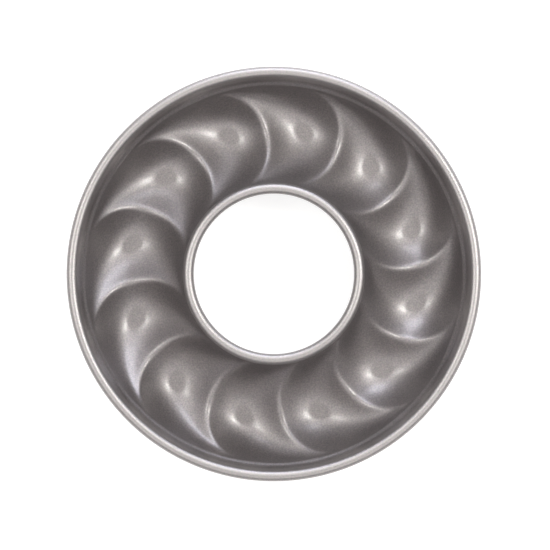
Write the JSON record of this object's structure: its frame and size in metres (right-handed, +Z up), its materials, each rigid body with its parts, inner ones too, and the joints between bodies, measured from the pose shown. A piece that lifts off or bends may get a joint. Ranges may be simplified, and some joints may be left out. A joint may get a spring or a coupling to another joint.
{
  "type": "bundt pan",
  "caption": "Open-centred ring cake pan pressed from non-stick steel, its channel shaped as a wreath of curved, overlapping scoops, with wired rolled edges.",
  "frame": {"origin": "on the pan's axis, in the plane of the feet that it stands on", "axes": "+Z up, out of the open side of the pan; +X through the tip of one of the curved ridges between lobes; +Y completes a right-handed frame"},
  "size_m": [0.26, 0.26, 0.044],
  "materials": {
    "nonstick_coating": "dark warm grey metallic non-stick coating, satin, with a fine grain",
    "rim_wire_steel": "bare drawn steel wire"
  },
  "bodies": {
    "root": {"pan_shell": "nonstick_coating", "outer_rim_wire": "rim_wire_steel", "inner_rim_wire": "rim_wire_steel"}
  },
  "joints": []
}
